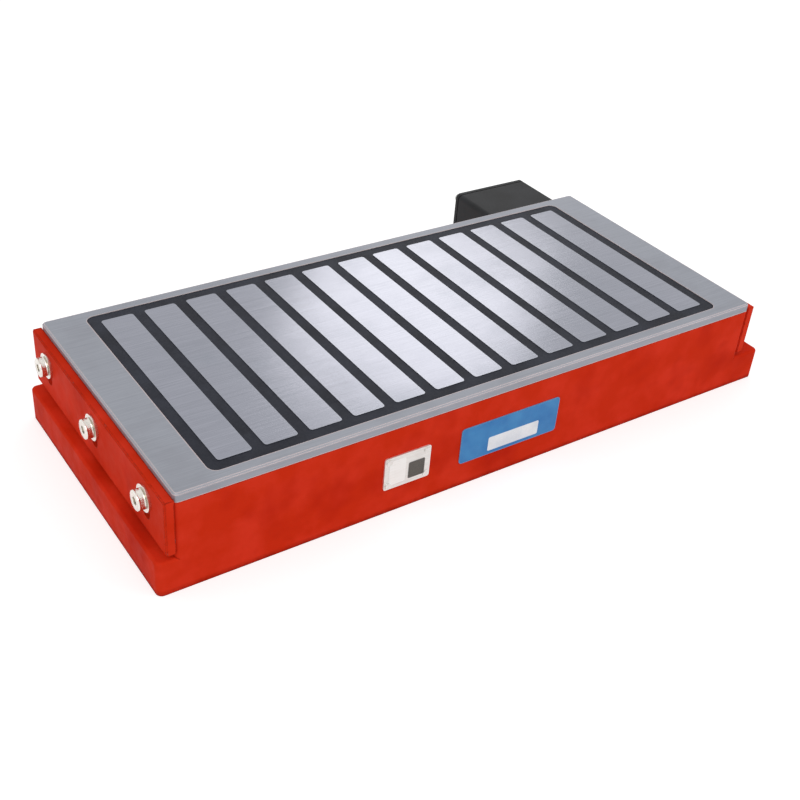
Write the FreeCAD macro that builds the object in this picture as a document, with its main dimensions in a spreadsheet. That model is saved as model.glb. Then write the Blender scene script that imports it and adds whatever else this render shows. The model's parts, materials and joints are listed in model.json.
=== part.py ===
import FreeCAD, Part
import math
import os
import Sketcher

# Rectangular electromagnetic chuck for a surface grinder.
# Millimetres, +Z up, +X along the chuck, the front faces -Y.
# The origin is the centre of the face that the chuck rests on.

DRIVING_SIZES = [
    ("plate_length", 450, "ground top plate and housing, along X"),
    ("chuck_height", 70, "rest face to working face"),
    ("rim_thickness", 6, "steel rim round the pole area"),
    ("edge_chamfer", 1, "broken edge of the ground rim"),
    ("rim_end_width", 24, "least width of the rim beyond the bars, along X"),
    ("rim_side_width", 8, "rim beyond the bars, along Y"),
    ("pole_pitch", 30, "bar to bar"),
    ("pole_length", 168, "bar length, along Y"),
    ("pole_thickness", 16, "bar height above the cores"),
    ("pole_corner", 2, "corner radius of a bar"),
    ("separator_width", 8, "resin between two bars, and round them"),
    ("separator_recess", 0.4, "resin below the working face"),
    ("floor_thickness", 14, "housing floor under the coil pockets"),
    ("rib_width", 14, "housing rib between two coil pockets"),
    ("pocket_corner", 6, "corner radius of a coil pocket"),
    ("housing_corner", 3, "upright corner radius of the housing and rim"),
    ("left_ledge_reach", 12, "left clamping ledge beyond the housing end"),
    ("right_ledge_reach", 25, "right clamping ledge beyond the housing end"),
    ("ledge_height", 24, "clamping ledges above the rest face"),
    ("ledge_round", 4, "upright edge radius of a ledge, twice that of its upper edge"),
    ("core_fit", 0.3, "play between a core and its bobbin"),
    ("bobbin_wall", 1.2, "bobbin tube"),
    ("bobbin_flange", 1.5, "bobbin flange"),
    ("flange_reach", 1, "bobbin flange beyond the winding"),
    ("coil_gap", 1, "bobbin flange to the rib beside it"),
    ("potting_depth", 4, "resin over the bobbins, up to the bars"),
    ("lead_radius", 2.5, "bundle of coil leads"),
    ("lead_bend", 10, "inner run of the leads to the wall"),
    ("lead_play", 0.3, "leads above the notch floor"),
    ("lead_gap", 3.5, "bobbin flanges to the leads"),
    ("notch_width", 8, "notch in the ribs for the leads"),
    ("notch_offset", 7, "notch middle in from the pocket end"),
    ("pole_screw_radius", 4, "screw from below into a bar"),
    ("pole_screw_spacing", 80, "two screws of one bar, along Y"),
    ("pole_screw_grip", 10, "screw length inside the bar"),
    ("rim_screw_radius", 3, "screw from below into the rim"),
    ("rim_screw_inset", 12, "rim screws in from the housing's outside"),
    ("rim_screw_inner", 38, "inner rim screws from the middle"),
    ("rim_screw_grip", 5, "screw length inside the rim"),
    ("screw_play", 0.3, "hole over screw, radius"),
    ("head_play", 0.6, "counterbore over screw head, radius and depth"),
    ("tap_radius", 4.25, "fixing hole in the rest face"),
    ("tap_depth", 20, "fixing hole in the rest face"),
    ("tap_end_inset", 25, "fixing hole in from the housing end, along X"),
    ("tap_side_inset", 40, "fixing hole in from the housing side, along Y"),
    ("rail_thickness", 6, "stop rail"),
    ("rail_drop", 4, "lowered rail below the working face"),
    ("rail_gap", 4, "lowered rail above the clamping ledges"),
    ("rail_travel", 10, "rise of a stop rail"),
    ("rail_edge", 0.8, "broken outer edges of a rail"),
    ("slide_gap", 0.1, "play beside a sliding rail"),
    ("slot_play", 0.5, "rail slot over screw, radius"),
    ("stop_screw_radius", 4, "stop screw shank"),
    ("stop_screw_drop", 17, "stop screw below the working face"),
    ("stop_head_height", 5, "low head of a stop screw"),
    ("stop_head_edge", 0.8, "rounded rim of a stop screw's head"),
    ("stop_screw_inset", 25, "outer stop screws in from the housing side"),
    ("stop_screw_grip", 22, "stop screw length inside the housing"),
    ("turning_play", 0.08, "stop screw in its hole, radius"),
    ("washer_radius", 8.5, "stop washer"),
    ("washer_thickness", 1.6, "stop washer"),
    ("plate_sheet", 1, "rating plate"),
    ("rating_length", 34, "rating plate"),
    ("rating_height", 24, "rating plate"),
    ("rating_place", -71, "rating plate middle, along X"),
    ("rating_level", 31.5, "rating plate middle above the rest face"),
    ("rating_corner", 1.5, "rating plate corner radius"),
    ("rivet_radius", 1.2, "rivet shank"),
    ("rivet_grip", 3.6, "rivet shank inside the housing"),
    ("rivet_end_gap", 1.2, "rivet hole beyond the shank"),
    ("rivet_inset", 3, "rivet in from the plate's edges"),
    ("label_sheet", 0.6, "front label"),
    ("label_length", 80, "front label"),
    ("label_height", 27, "front label"),
    ("label_corner", 2.25, "front label corner radius"),
    ("label_place", 10, "front label middle, along X"),
    ("label_level", 32, "front label middle above the rest face"),
    ("box_length", 70, "terminal box, along X"),
    ("box_depth", 44, "terminal box body, along Y"),
    ("box_wall", 4, "terminal box wall"),
    ("box_corner", 4, "terminal box corner radius"),
    ("box_end_gap", 11, "terminal box in from the housing end"),
    ("box_bottom", 20, "terminal box above the rest face"),
    ("box_drop", 4, "terminal box below the working face"),
    ("gasket_thickness", 1, "flat gaskets of the terminal box"),
    ("gasket_inset", 1, "flat gaskets in from the box's outside"),
    ("cover_thickness", 4, "terminal box cover"),
    ("cover_edge", 1, "broken edge of the cover"),
    ("post_radius", 4.5, "cover screw posts in the box"),
    ("cover_screw_radius", 2, "cover screws"),
    ("cover_screw_grip", 12, "cover screw length in the post"),
    ("box_screw_radius", 2.5, "screws that hold the box on the housing"),
    ("box_screw_inset", 8, "box screws in from the box's outside"),
    ("wire_hole_radius", 6, "wire hole"),
    ("block_length", 30, "terminal block"),
    ("block_depth", 14, "terminal block"),
    ("block_height", 15, "terminal block"),
    ("wire_gap", 14, "wire hole middle to the terminal block"),
    ("block_gap", 2, "terminal block to the locknut"),
    ("block_corner", 1.5, "terminal block corner radius"),
    ("block_step", 7, "terminal to terminal"),
    ("block_groove", 1, "groove between two terminals"),
    ("well_radius", 2.45, "well of a clamp screw"),
    ("gland_thread_radius", 8, "cable gland thread"),
    ("gland_hex", 20, "cable gland across flats"),
    ("gland_flange", 5, "cable gland flange"),
    ("gland_neck", 10, "cable gland thread under the nut"),
    ("gland_bore", 5.6, "seal seat in the gland, radius"),
    ("seal_play", 0.1, "seal in its seat, radius"),
    ("cable_radius", 4.5, "cable hole, radius"),
    ("gland_nut_wall", 4, "end wall of the gland nut"),
    ("locknut_height", 4, "locknut inside the box"),
    ("earth_gap", 34, "earth screw middle to the terminal box"),
    ("earth_level", 38, "earth screw above the rest face"),
    ("earth_radius", 3, "earth screw shank"),
    ("earth_hex", 10, "earth screw across flats"),
    ("earth_head_height", 4, "earth screw head"),
    ("earth_washer_radius", 6, "earth washer"),
    ("earth_washer_height", 1.5, "earth washer"),
]


class Size:
    """A length that carries its formula, so that what uses it stays bound to the sheet."""

    def __init__(self, number, formula):
        self.number = number
        self.formula = formula

    def joined(self, sign, other, number, swapped=False):
        mine = self.formula
        theirs = other.formula if isinstance(other, Size) else repr(other)
        if swapped:
            mine, theirs = theirs, mine
        return Size(number, "(%s %s %s)" % (mine, sign, theirs))

    def __add__(self, other):
        return self.joined("+", other, self.number + number_of(other))

    def __radd__(self, other):
        return self.joined("+", other, number_of(other) + self.number, True)

    def __sub__(self, other):
        return self.joined("-", other, self.number - number_of(other))

    def __rsub__(self, other):
        return self.joined("-", other, number_of(other) - self.number, True)

    def __mul__(self, other):
        return self.joined("*", other, self.number * number_of(other))

    def __rmul__(self, other):
        return self.joined("*", other, number_of(other) * self.number, True)

    def __truediv__(self, other):
        return self.joined("/", other, self.number / number_of(other))

    def __neg__(self):
        return Size(-self.number, "(0 - %s)" % self.formula)


def number_of(value):
    return value.number if isinstance(value, Size) else float(value)


def whole(size):
    """The whole copies that a size has room for."""
    return Size(math.floor(size.number), "floor(%s)" % size.formula)


doc = FreeCAD.newDocument("MagneticChuck")
sheet = doc.addObject("Spreadsheet::Sheet", "Sizes")


def fill_sheet():
    for row, (alias, number, note) in enumerate(DRIVING_SIZES, start=1):
        sheet.set("A%d" % row, alias)
        sheet.set("B%d" % row, str(number))
        sheet.setAlias("B%d" % row, alias)
        sheet.set("C%d" % row, note)
    doc.recompute()


class Sizes:
    """Reads a size of the sheet by its alias."""

    def __getattr__(self, alias):
        return Size(float(sheet.get(alias)), "Sizes." + alias)


fill_sheet()
s = Sizes()

# ---- sizes that several pieces share -------------------------------------------------------

half_length = s.plate_length / 2
rim_seat = s.chuck_height - s.rim_thickness
shelf = s.chuck_height - s.pole_thickness
bar_width = s.pole_pitch - s.separator_width
core_step = s.pole_pitch * 2
room_for_bars = s.plate_length - s.rim_end_width * 2 - s.separator_width
core_count = whole((room_for_bars - s.pole_pitch) / core_step)
pole_count = core_count * 2 + 1
window_length = s.pole_pitch * pole_count + s.separator_width
window_width = s.pole_length + s.separator_width * 2
window_corner = s.pole_corner + s.separator_width / 2
half_width = window_width / 2 + s.rim_side_width
back_grip = s.rim_side_width - s.head_play
first_bar = -(s.pole_pitch * (pole_count - 1) / 2)
first_core = first_bar + s.pole_pitch
pocket_width = core_step - s.rib_width
coil_floor = s.floor_thickness
bobbin_top = shelf - s.potting_depth
bobbin_height = bobbin_top - coil_floor
flange_half_width = pocket_width / 2 - s.coil_gap
winding_half_width = flange_half_width - s.flange_reach
tube_half_width = bar_width / 2 + s.core_fit + s.bobbin_wall
winding_depth = winding_half_width - tube_half_width
notch_middle = s.pole_length / 2 - s.notch_offset
flange_half_length = notch_middle - s.lead_radius - s.lead_gap
winding_half_length = flange_half_length - s.flange_reach
tube_half_length = winding_half_length - winding_depth
core_half_length = tube_half_length - s.bobbin_wall - s.core_fit
notch_floor = shelf - s.notch_width - s.lead_radius / 2 - s.lead_play
lead_level = notch_floor + s.lead_play + s.lead_radius
stop_level = s.chuck_height - s.stop_screw_drop
stop_aside = half_width - s.stop_screw_inset
rail_top = s.chuck_height - s.rail_drop
rail_bottom = s.ledge_height + s.rail_gap
rail_inside = half_length + s.slide_gap
rail_outside = rail_inside + s.rail_thickness
washer_inside = rail_outside + s.slide_gap
washer_outside = washer_inside + s.washer_thickness
rating_left = s.rating_place - s.rating_length / 2
rating_right = s.rating_place + s.rating_length / 2
rating_bottom = s.rating_level - s.rating_height / 2
rating_top = s.rating_level + s.rating_height / 2
box_right = half_length - s.box_end_gap
box_left = box_right - s.box_length
box_top = s.chuck_height - s.box_drop
box_front = half_width + s.gasket_thickness
box_back = box_front + s.box_depth
cover_inside = box_back + s.gasket_thickness
cover_outside = cover_inside + s.cover_thickness
post_inset = s.box_wall + s.post_radius / 2
box_middle = box_front + s.box_depth / 2
gland_level = (s.box_bottom + box_top) / 2
locknut_inside = box_right - s.box_wall - s.locknut_height
block_right = locknut_inside - s.block_gap
block_left = block_right - s.block_length
wire_hole_place = block_left - s.wire_gap
earth_place = box_left - s.earth_gap
flange_outside = box_right + s.gland_flange
neck_outside = flange_outside + s.gland_neck

# ---- helpers --------------------------------------------------------------------------------

pieces = []

# Half the width of a hexagon from point to point, where it is one wide across its flats.
HALF_ACROSS_POINTS = 0.57735


def bind(target, path, size):
    if isinstance(size, Size):
        target.setExpression(path, size.formula)
    else:
        setattr(target, path, size)


def new_body(label):
    body = doc.addObject("PartDesign::Body", label)
    body.Label = label
    body.AllowCompound = True
    pieces.append(body)
    return body


def origin_feature(body, role):
    for feature in body.Origin.OriginFeatures:
        if feature.Role == role:
            return feature
    raise ValueError("no origin feature " + role)


def new_sketch(body, name, role, offset=None):
    """role is XY_Plane (offset up Z), XZ_Plane (offset towards -Y) or YZ_Plane (offset up X)."""
    sketch = body.newObject("Sketcher::SketchObject", name)
    sketch.AttachmentSupport = [(origin_feature(body, role), "")]
    sketch.MapMode = "FlatFace"
    if offset is not None:
        bind(sketch, ".AttachmentOffset.Base.z", offset)
    return sketch


def fix(sketch, kind, *where_and_size):
    *where, size = where_and_size
    index = sketch.addConstraint(Sketcher.Constraint(kind, *where, number_of(size)))
    if isinstance(size, Size):
        sketch.setExpression("Constraints[%d]" % index, size.formula)


def fix_point(sketch, shape, corner, across, up):
    fix(sketch, "DistanceX", -1, 1, shape, corner, across)
    fix(sketch, "DistanceY", -1, 1, shape, corner, up)


def add_loop(sketch, corners):
    """A closed outline of straight edges through corners given as (across, up)."""
    first = sketch.GeometryCount
    points = [FreeCAD.Vector(number_of(a), number_of(b), 0) for a, b in corners]
    count = len(points)
    for index in range(count):
        sketch.addGeometry(Part.LineSegment(points[index], points[(index + 1) % count]))
    for index in range(count):
        following = first + (index + 1) % count
        sketch.addConstraint(Sketcher.Constraint("Coincident", first + index, 2, following, 1))
    for index, (across, up) in enumerate(corners):
        fix_point(sketch, first + index, 1, across, up)


def add_rectangle(sketch, left, right, bottom, top):
    add_loop(sketch, [(left, bottom), (right, bottom), (right, top), (left, top)])


def add_round_rectangle(sketch, left, right, bottom, top, radius):
    first = sketch.GeometryCount
    x0, x1, y0, y1, r = [number_of(value) for value in (left, right, bottom, top, radius)]
    vector = FreeCAD.Vector
    sides = [
        (vector(x0 + r, y0, 0), vector(x1 - r, y0, 0)),
        (vector(x1, y0 + r, 0), vector(x1, y1 - r, 0)),
        (vector(x1 - r, y1, 0), vector(x0 + r, y1, 0)),
        (vector(x0, y1 - r, 0), vector(x0, y0 + r, 0)),
    ]
    centres = [vector(x1 - r, y0 + r, 0), vector(x1 - r, y1 - r, 0)]
    centres += [vector(x0 + r, y1 - r, 0), vector(x0 + r, y0 + r, 0)]
    up = vector(0, 0, 1)
    for index in range(4):
        sketch.addGeometry(Part.LineSegment(*sides[index]))
        start = (index - 1) * math.pi / 2
        circle = Part.Circle(centres[index], up, r)
        sketch.addGeometry(Part.ArcOfCircle(circle, start, start + math.pi / 2))
    for index in range(4):
        side = first + 2 * index
        arc = side + 1
        following = first + (2 * index + 2) % 8
        sketch.addConstraint(Sketcher.Constraint("Tangent", side, 2, arc, 1))
        sketch.addConstraint(Sketcher.Constraint("Tangent", arc, 2, following, 1))
        direction = "Horizontal" if index % 2 == 0 else "Vertical"
        sketch.addConstraint(Sketcher.Constraint(direction, side))
        if index:
            sketch.addConstraint(Sketcher.Constraint("Equal", first + 1, arc))
    fix(sketch, "Radius", first + 1, radius)
    fix(sketch, "DistanceY", -1, 1, first, 1, bottom)
    fix(sketch, "DistanceX", -1, 1, first + 2, 1, right)
    fix(sketch, "DistanceY", -1, 1, first + 4, 1, top)
    fix(sketch, "DistanceX", -1, 1, first + 6, 1, left)


def add_circle(sketch, across, up, radius):
    index = sketch.GeometryCount
    centre = FreeCAD.Vector(number_of(across), number_of(up), 0)
    sketch.addGeometry(Part.Circle(centre, FreeCAD.Vector(0, 0, 1), number_of(radius)))
    fix_point(sketch, index, 3, across, up)
    fix(sketch, "Radius", index, radius)


def add_hexagon(sketch, across, up, flats):
    point = flats * HALF_ACROSS_POINTS
    side = flats / 2
    corners = [(across + point, up)]
    corners += [(across + point / 2, up + side), (across - point / 2, up + side)]
    corners += [(across - point, up)]
    corners += [(across - point / 2, up - side), (across + point / 2, up - side)]
    add_loop(sketch, corners)


def extrude(kind, body, sketch, length, reverse=False):
    feature = body.newObject("PartDesign::" + kind, sketch.Name + kind)
    feature.Profile = sketch
    bind(feature, "Length", length)
    feature.Reversed = reverse
    sketch.Visibility = False
    body.Tip = feature
    doc.recompute()
    return feature


def pad(body, sketch, length, reverse=False):
    return extrude("Pad", body, sketch, length, reverse)


def pocket(body, sketch, length, reverse=False):
    """A pocket cuts against its sketch's normal, or along it when reversed. It has to cut."""
    before = body.Tip.Shape.Volume
    feature = extrude("Pocket", body, sketch, length, reverse)
    if not feature.Shape.Volume < before - 0.01:
        raise ValueError("%s cuts nothing" % feature.Name)
    return feature


def row_of(body, features, role, length, count):
    row = body.newObject("PartDesign::LinearPattern", body.Name + "Row")
    row.Originals = features
    row.Direction = (origin_feature(body, role), [""])
    bind(row, "Length", length)
    bind(row, "Occurrences", count)
    body.Tip = row
    doc.recompute()
    return row


def dress(kind, body, size, wanted):
    """Fillet or chamfer on the edges of the tip for which wanted(edge) is true."""
    base = body.Tip
    names = []
    for number, edge in enumerate(base.Shape.Edges, start=1):
        if wanted(edge):
            names.append("Edge%d" % number)
    if not names:
        raise ValueError("no edge to dress on " + body.Label)
    feature = body.newObject("PartDesign::" + kind, body.Name + kind)
    feature.Base = (base, names)
    bind(feature, "Radius" if kind == "Fillet" else "Size", size)
    body.Tip = feature
    doc.recompute()
    return feature


def along(edge, axis):
    """True for a straight edge along one axis, 0 for X, 1 for Y and 2 for Z."""
    if edge.Curve.TypeId != "Part::GeomLine":
        return False
    return abs(edge.tangentAt(edge.FirstParameter)[axis]) > 0.999


def near(value, size, slack=0.01):
    return abs(value - number_of(size)) < slack


def at_height(edge, size):
    box = edge.BoundBox
    return near(box.ZMin, size) and near(box.ZMax, size)


# ---- housing --------------------------------------------------------------------------------


def head_radius(shank_radius):
    """A cylinder-head screw has a head about 1.6 times as wide as its shank."""
    return shank_radius * 1.6


def socket_width(shank_radius):
    """The socket of such a screw is about 0.75 of its shank, across the flats."""
    return shank_radius * 1.5


def rivet_head(shank_radius):
    """Radius and height of a flat rivet head."""
    return shank_radius * 1.7, shank_radius * 0.7


def screw_rows():
    """Middles of the two rows of pole screws, along Y."""
    return (-(s.pole_screw_spacing / 2), s.pole_screw_spacing / 2)


def rim_screw_places():
    along_length = half_length - s.rim_screw_inset
    places = []
    for end in (-1, 1):
        for side in (-1, 1):
            for out in (s.rim_screw_inner, half_width - s.rim_screw_inset):
                places.append((along_length * end, out * side))
    return places


def stop_screw_places():
    return (("front", -stop_aside), ("middle", stop_aside * 0), ("back", stop_aside))


def rivet_places():
    places = []
    for across in (rating_left + s.rivet_inset, rating_right - s.rivet_inset):
        for up in (rating_bottom + s.rivet_inset, rating_top - s.rivet_inset):
            places.append((across, up))
    return places


def box_screw_places():
    places = []
    for across in (box_left + s.box_screw_inset, box_right - s.box_screw_inset):
        for up in (s.box_bottom + s.box_screw_inset, box_top - s.box_screw_inset):
            places.append((across, up))
    return places


def cover_screw_places():
    places = []
    for across in (box_left + post_inset, box_right - post_inset):
        for up in (s.box_bottom + post_inset, box_top - post_inset):
            places.append((across, up))
    return places


def make_housing():
    body = new_body("housing")
    outline = new_sketch(body, "HousingOutline", "XY_Plane")
    add_round_rectangle(outline, -half_length, half_length, -half_width, half_width, s.housing_corner)
    pad(body, outline, rim_seat)

    ledge = new_sketch(body, "LedgeOutline", "XY_Plane")
    left_reach = -(half_length + s.left_ledge_reach)
    right_reach = half_length + s.right_ledge_reach
    add_round_rectangle(ledge, left_reach, right_reach, -half_width, half_width, s.ledge_round)
    pad(body, ledge, s.ledge_height)
    end_face = number_of(half_length)

    def ledge_edge(edge):
        return at_height(edge, s.ledge_height) and abs(edge.CenterOfMass.x) > end_face

    dress("Fillet", body, s.ledge_round / 2, ledge_edge)

    seat = new_sketch(body, "PoleSeat", "XY_Plane", rim_seat)
    across = window_length / 2
    up = window_width / 2
    add_round_rectangle(seat, -across, across, -up, up, window_corner)
    pocket(body, seat, rim_seat - shelf)

    coil = new_sketch(body, "CoilPocket", "XY_Plane", shelf)
    left = first_core - pocket_width / 2
    right = first_core + pocket_width / 2
    add_round_rectangle(coil, left, right, -(s.pole_length / 2), s.pole_length / 2, s.pocket_corner)
    first_pocket = pocket(body, coil, shelf - coil_floor)
    row_of(body, [first_pocket], "X_Axis", core_step * (core_count - 1), core_count)

    notch = new_sketch(body, "LeadNotch", "XY_Plane", shelf)
    low = notch_middle - s.notch_width / 2
    high = notch_middle + s.notch_width / 2
    add_rectangle(notch, first_core, wire_hole_place + s.notch_width / 2, low, high)
    pocket(body, notch, shelf - notch_floor)

    shank = new_sketch(body, "PoleScrewHole", "XY_Plane")
    for row in screw_rows():
        add_circle(shank, first_bar, row, s.pole_screw_radius + s.screw_play)
    hole = pocket(body, shank, shelf, True)
    head = new_sketch(body, "PoleScrewSeat", "XY_Plane")
    for row in screw_rows():
        add_circle(head, first_bar, row, head_radius(s.pole_screw_radius) + s.head_play)
    seat = pocket(body, head, s.pole_screw_radius * 2 + s.head_play, True)
    row_of(body, [hole, seat], "X_Axis", s.pole_pitch * (pole_count - 1), pole_count)

    shank = new_sketch(body, "RimScrewHole", "XY_Plane")
    head = new_sketch(body, "RimScrewSeat", "XY_Plane")
    for across, up in rim_screw_places():
        add_circle(shank, across, up, s.rim_screw_radius + s.screw_play)
        add_circle(head, across, up, head_radius(s.rim_screw_radius) + s.head_play)
    pocket(body, shank, rim_seat, True)
    pocket(body, head, s.rim_screw_radius * 2 + s.head_play, True)

    tapped = new_sketch(body, "FixingHole", "XY_Plane")
    for end in (-1, 1):
        for side in (-1, 1):
            along = (half_length - s.tap_end_inset) * end
            add_circle(tapped, along, (half_width - s.tap_side_inset) * side, s.tap_radius)
    pocket(body, tapped, s.tap_depth, True)

    for end, name in ((-1, "Left"), (1, "Right")):
        stop = new_sketch(body, name + "StopHole", "YZ_Plane", half_length * end)
        for _, across in stop_screw_places():
            add_circle(stop, across, stop_level, s.stop_screw_radius + s.turning_play)
        pocket(body, stop, s.stop_screw_grip + s.head_play, end < 0)

    rivet = new_sketch(body, "RivetHole", "XZ_Plane", half_width)
    for across, up in rivet_places():
        add_circle(rivet, across, up, s.rivet_radius)
    pocket(body, rivet, s.rivet_grip + s.rivet_end_gap)

    back = new_sketch(body, "BackHole", "XZ_Plane", -half_width)
    for across, up in box_screw_places():
        add_circle(back, across, up, s.box_screw_radius)
    add_circle(back, earth_place, s.earth_level, s.earth_radius)
    pocket(body, back, back_grip, True)

    wire = new_sketch(body, "WireHole", "XZ_Plane", -half_width)
    add_circle(wire, wire_hole_place, lead_level, s.wire_hole_radius)
    pocket(body, wire, half_width - notch_middle, True)


# ---- working face ---------------------------------------------------------------------------


def make_rim_plate():
    body = new_body("rim_plate")
    outline = new_sketch(body, "RimOutline", "XY_Plane", rim_seat)
    add_round_rectangle(outline, -half_length, half_length, -half_width, half_width, s.housing_corner)
    pad(body, outline, s.rim_thickness)
    top = s.chuck_height
    dress("Chamfer", body, s.edge_chamfer, lambda edge: at_height(edge, top))
    window = new_sketch(body, "RimWindow", "XY_Plane", top)
    across = window_length / 2
    up = window_width / 2
    add_round_rectangle(window, -across, across, -up, up, window_corner)
    pocket(body, window, s.rim_thickness)
    tapped = new_sketch(body, "RimTapped", "XY_Plane", rim_seat)
    for across, up in rim_screw_places():
        add_circle(tapped, across, up, s.rim_screw_radius)
    pocket(body, tapped, s.rim_screw_grip, True)


def make_pole_bars(label, start, count):
    """Bars two pitches apart: the north bars and the south bars take turns along the chuck."""
    body = new_body(label)
    outline = new_sketch(body, label + "Outline", "XY_Plane", shelf)
    left = start - bar_width / 2
    right = start + bar_width / 2
    add_round_rectangle(outline, left, right, -(s.pole_length / 2), s.pole_length / 2, s.pole_corner)
    bar = pad(body, outline, s.pole_thickness)
    tapped = new_sketch(body, label + "Tapped", "XY_Plane", shelf)
    for row in screw_rows():
        add_circle(tapped, start, row, s.pole_screw_radius)
    hole = pocket(body, tapped, s.pole_screw_grip, True)
    row_of(body, [bar, hole], "X_Axis", core_step * (count - 1), count)


def make_pole_separator():
    body = new_body("pole_separator")
    outline = new_sketch(body, "SeparatorOutline", "XY_Plane", shelf)
    across = window_length / 2
    up = window_width / 2
    add_round_rectangle(outline, -across, across, -up, up, window_corner)
    height = s.pole_thickness - s.separator_recess
    pad(body, outline, height)
    opening = new_sketch(body, "BarOpening", "XY_Plane", shelf + height)
    left = first_bar - bar_width / 2
    right = first_bar + bar_width / 2
    add_round_rectangle(opening, left, right, -(s.pole_length / 2), s.pole_length / 2, s.pole_corner)
    first = pocket(body, opening, height)
    row_of(body, [first], "X_Axis", s.pole_pitch * (pole_count - 1), pole_count)


# ---- magnet system --------------------------------------------------------------------------


def centred_round_rectangle(sketch, half_across, half_up, radius):
    add_round_rectangle(sketch, first_core - half_across, first_core + half_across, -half_up, half_up, radius)


def repeat_cores(body, features):
    row_of(body, features, "X_Axis", core_step * (core_count - 1), core_count)


def make_pole_cores():
    body = new_body("pole_cores")
    outline = new_sketch(body, "CoreOutline", "XY_Plane", coil_floor)
    centred_round_rectangle(outline, bar_width / 2, core_half_length, s.pole_corner)
    core = pad(body, outline, shelf - coil_floor)
    drilled = new_sketch(body, "CoreHole", "XY_Plane", coil_floor)
    for row in screw_rows():
        add_circle(drilled, first_core, row, s.pole_screw_radius + s.screw_play)
    hole = pocket(body, drilled, shelf - coil_floor, True)
    repeat_cores(body, [core, hole])


def make_coil_bobbins():
    """A bobbin is a rounded tube between two flanges, with the winding between them."""
    body = new_body("coil_bobbins")
    tube_radius = s.pole_corner + s.core_fit + s.bobbin_wall
    flange_radius = tube_radius + winding_depth + s.flange_reach
    outline = new_sketch(body, "BobbinOutline", "XY_Plane", coil_floor)
    centred_round_rectangle(outline, flange_half_width, flange_half_length, flange_radius)
    spool = pad(body, outline, bobbin_height)
    channel = new_sketch(body, "BobbinChannel", "XY_Plane", coil_floor + s.bobbin_flange)
    past = s.flange_reach
    around = flange_radius + past
    centred_round_rectangle(channel, flange_half_width + past, flange_half_length + past, around)
    centred_round_rectangle(channel, tube_half_width, tube_half_length, tube_radius)
    cut = pocket(body, channel, bobbin_height - s.bobbin_flange * 2, True)
    bore = new_sketch(body, "BobbinBore", "XY_Plane", bobbin_top)
    inner = s.pole_corner + s.core_fit
    centred_round_rectangle(bore, tube_half_width - s.bobbin_wall, tube_half_length - s.bobbin_wall, inner)
    opened = pocket(body, bore, bobbin_height)
    repeat_cores(body, [spool, cut, opened])


def make_field_coils():
    body = new_body("field_coils")
    outline = new_sketch(body, "CoilOutline", "XY_Plane", coil_floor + s.bobbin_flange)
    tube_radius = s.pole_corner + s.core_fit + s.bobbin_wall
    centred_round_rectangle(outline, winding_half_width, winding_half_length, tube_radius + winding_depth)
    centred_round_rectangle(outline, tube_half_width, tube_half_length, tube_radius)
    coil = pad(body, outline, bobbin_height - s.bobbin_flange * 2)
    repeat_cores(body, [coil])


def make_potting_slabs():
    """Resin over each coil, flush with the shelf that the bars stand on."""
    body = new_body("potting_slabs")
    outline = new_sketch(body, "SlabOutline", "XY_Plane", bobbin_top)
    centred_round_rectangle(outline, pocket_width / 2, s.pole_length / 2, s.pocket_corner)
    centred_round_rectangle(outline, bar_width / 2, core_half_length, s.pole_corner)
    slab = pad(body, outline, s.potting_depth)
    repeat_cores(body, [slab])


def make_coil_leads():
    """One bundle: along the notches, out through the wire hole and over to the terminal block."""
    bundle = doc.addObject("Part::Feature", "coil_leads")
    bundle.Label = "coil_leads"
    pieces.append(bundle)
    vector = FreeCAD.Vector
    level = number_of(lead_level)
    bend = number_of(s.lead_bend)
    hole = number_of(wire_hole_place)
    row = number_of(notch_middle)
    block = number_of(block_left)
    out = number_of(box_front + s.box_wall + s.block_depth / 2)
    turn = number_of(s.block_depth / 2)
    half = math.sqrt(0.5)
    path = [
        Part.LineSegment(vector(number_of(first_core), row, level), vector(hole - bend, row, level)),
        Part.Arc(
            vector(hole - bend, row, level),
            vector(hole - bend + bend * half, row + bend - bend * half, level),
            vector(hole, row + bend, level),
        ),
        Part.LineSegment(vector(hole, row + bend, level), vector(hole, out - turn, level)),
        Part.Arc(
            vector(hole, out - turn, level),
            vector(hole + turn - turn * half, out - turn + turn * half, level),
            vector(hole + turn, out, level),
        ),
        Part.LineSegment(vector(hole + turn, out, level), vector(block, out, level)),
    ]
    wire = Part.Wire([edge.toShape() for edge in path])
    start = vector(number_of(first_core), row, level)
    ring = Part.Wire([Part.makeCircle(number_of(s.lead_radius), start, vector(1, 0, 0))])
    bundle.Shape = wire.makePipeShell([ring], True, False)
    bundle.Placement = FreeCAD.Placement()


# ---- screws ---------------------------------------------------------------------------------


def cylinder_head_screws(label, role, places, seat, radius, grip, outward, head_height=None):
    """Screws at places on one plane: seat is the level under the heads, outward is 1 where the
    heads stand along the sketch's normal and -1 where they stand against it."""
    body = new_body(label)
    head_height = head_height or radius * 2
    heads = new_sketch(body, label + "Head", role, seat)
    shanks = new_sketch(body, label + "Shank", role, seat)
    sockets = new_sketch(body, label + "Socket", role, seat + head_height * outward)
    for across, up in places:
        add_circle(heads, across, up, head_radius(radius))
        add_circle(shanks, across, up, radius)
        add_hexagon(sockets, across, up, socket_width(radius))
    head = pad(body, heads, head_height, outward < 0)
    shank = pad(body, shanks, grip, outward > 0)
    socket = pocket(body, sockets, head_height / 2, outward < 0)
    return body, [head, shank, socket]


def make_pole_screws():
    radius = s.pole_screw_radius
    seat = s.head_play + radius * 2
    grip = shelf + s.pole_screw_grip - seat
    places = [(first_bar, row) for row in screw_rows()]
    body, screw = cylinder_head_screws("pole_screws", "XY_Plane", places, seat, radius, grip, -1)
    row_of(body, screw, "X_Axis", s.pole_pitch * (pole_count - 1), pole_count)


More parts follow.
